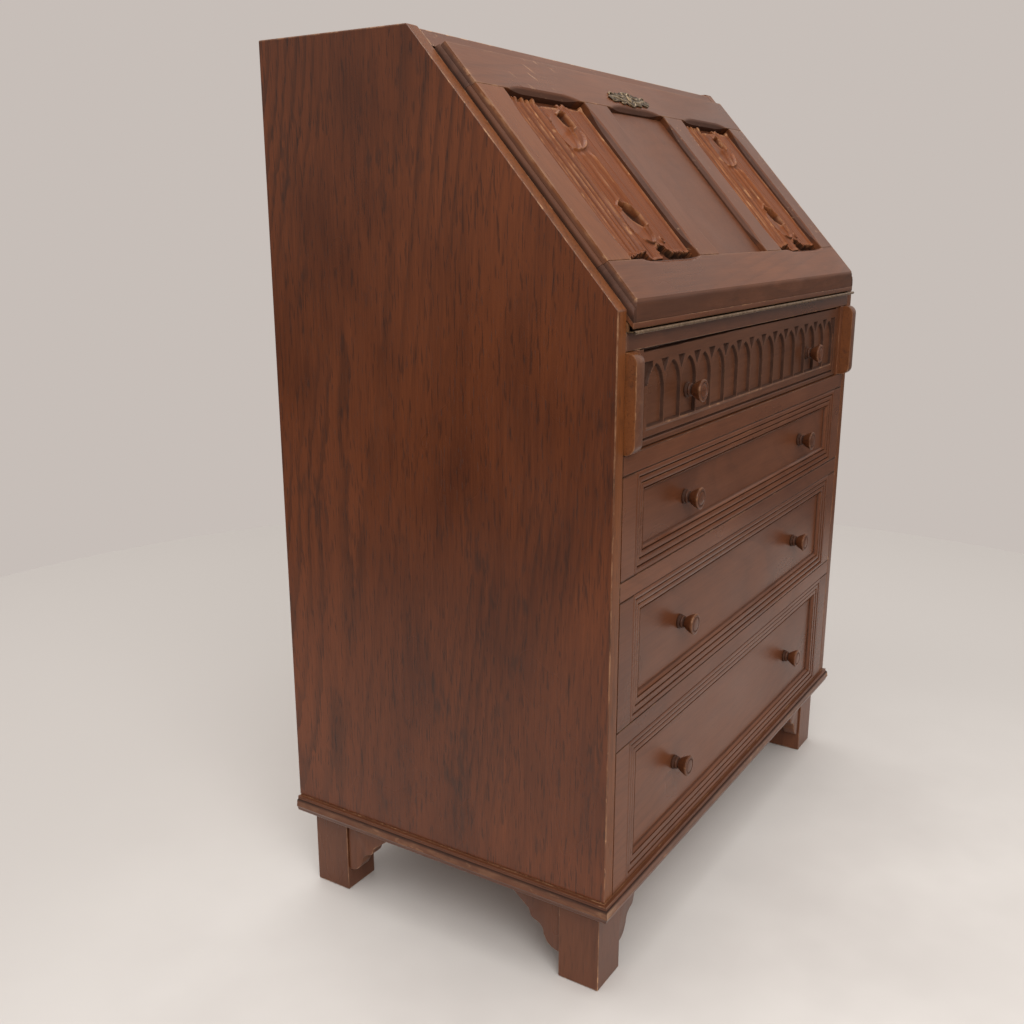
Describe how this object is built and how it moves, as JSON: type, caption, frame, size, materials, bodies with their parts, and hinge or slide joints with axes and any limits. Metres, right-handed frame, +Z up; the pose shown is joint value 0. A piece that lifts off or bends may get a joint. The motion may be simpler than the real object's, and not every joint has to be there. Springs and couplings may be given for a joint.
{
  "type": "slant-front bureau",
  "caption": "Oak slant-front bureau: linenfold fall on a long hinge, sliding lopers, arcaded drawer over long moulded drawers, bracket feet.",
  "frame": {"origin": "on the floor, centred in width and in overall depth from the knob faces to the back edge", "axes": "+Z up, +X to the sitter's right, -Y towards the sitter (front)"},
  "size_m": [0.762, 0.445, 1],
  "materials": {
    "oak_case": "dark reddish-brown oak, semi-gloss lacquer, worn arrises",
    "oak_carved": "carved and turned oak, warmer brown, semi-gloss lacquer",
    "oak_inside": "plain lighter oak and ply, matt",
    "aged_brass": "aged brass, dull with brighter edges"
  },
  "bodies": {
    "carcass": {"side_left": "oak_case", "side_right": "oak_case", "top_board": "oak_case", "back_panel": "oak_inside", "base_board": "oak_case", "writing_bed": "oak_case", "drawer_rail_upper": "oak_case", "drawer_rail_middle": "oak_case", "drawer_rail_lower": "oak_case", "loper_guide_left": "oak_case", "loper_guide_right": "oak_case", "base_moulding_front": "oak_case", "base_moulding_left": "oak_case", "base_moulding_right": "oak_case", "foot_front_left": "oak_case", "foot_rear_left": "oak_case", "bracket_side_front_left": "oak_case", "bracket_side_rear_left": "oak_case", "bracket_front_left": "oak_case", "foot_front_right": "oak_case", "foot_rear_right": "oak_case", "bracket_side_front_right": "oak_case", "bracket_side_rear_right": "oak_case", "bracket_front_right": "oak_case", "pigeonhole_gallery": "oak_inside", "hinge_bed_leaf": "aged_brass"},
    "fall": {"fall_writing_board": "oak_inside", "fall_bottom_rail": "oak_case", "fall_top_rail": "oak_case", "fall_stile_left": "oak_case", "fall_stile_right": "oak_case", "fall_muntin_left": "oak_case", "fall_muntin_right": "oak_case", "fall_panel_centre": "oak_case", "fall_panel_left": "oak_carved", "fall_panel_right": "oak_carved", "escutcheon": "aged_brass", "hinge_fall_leaf": "aged_brass"},
    "loper_left": {"loper_left": "oak_case"},
    "loper_right": {"loper_right": "oak_case"},
    "drawer_1": {"drawer_1_front": "oak_carved", "drawer_1_box": "oak_inside", "drawer_1_knob_left": "oak_carved", "drawer_1_knob_right": "oak_carved"},
    "drawer_2": {"drawer_2_front": "oak_case", "drawer_2_box": "oak_inside", "drawer_2_moulding": "oak_case", "drawer_2_knob_left": "oak_carved", "drawer_2_knob_right": "oak_carved"},
    "drawer_3": {"drawer_3_front": "oak_case", "drawer_3_box": "oak_inside", "drawer_3_moulding": "oak_case", "drawer_3_knob_left": "oak_carved", "drawer_3_knob_right": "oak_carved"},
    "drawer_4": {"drawer_4_front": "oak_case", "drawer_4_box": "oak_inside", "drawer_4_moulding": "oak_case", "drawer_4_knob_left": "oak_carved", "drawer_4_knob_right": "oak_carved"}
  },
  "joints": [
    {"name": "fall_hinge", "type": "hinge", "parent": "carcass", "child": "fall", "pos_m": [0, -0.2166, 0.7158], "axis": [1, 0, 0], "range_deg": [0, 131.7]},
    {"name": "loper_left_slide", "type": "slide", "parent": "carcass", "child": "loper_left", "axis": [0, -1, 0], "range_m": [0, 0.26]},
    {"name": "loper_right_slide", "type": "slide", "parent": "carcass", "child": "loper_right", "axis": [0, -1, 0], "range_m": [0, 0.26]},
    {"name": "drawer_1_slide", "type": "slide", "parent": "carcass", "child": "drawer_1", "axis": [0, -1, 0], "range_m": [0, 0.27]},
    {"name": "drawer_2_slide", "type": "slide", "parent": "carcass", "child": "drawer_2", "axis": [0, -1, 0], "range_m": [0, 0.27]},
    {"name": "drawer_3_slide", "type": "slide", "parent": "carcass", "child": "drawer_3", "axis": [0, -1, 0], "range_m": [0, 0.27]},
    {"name": "drawer_4_slide", "type": "slide", "parent": "carcass", "child": "drawer_4", "axis": [0, -1, 0], "range_m": [0, 0.27]}
  ]
}
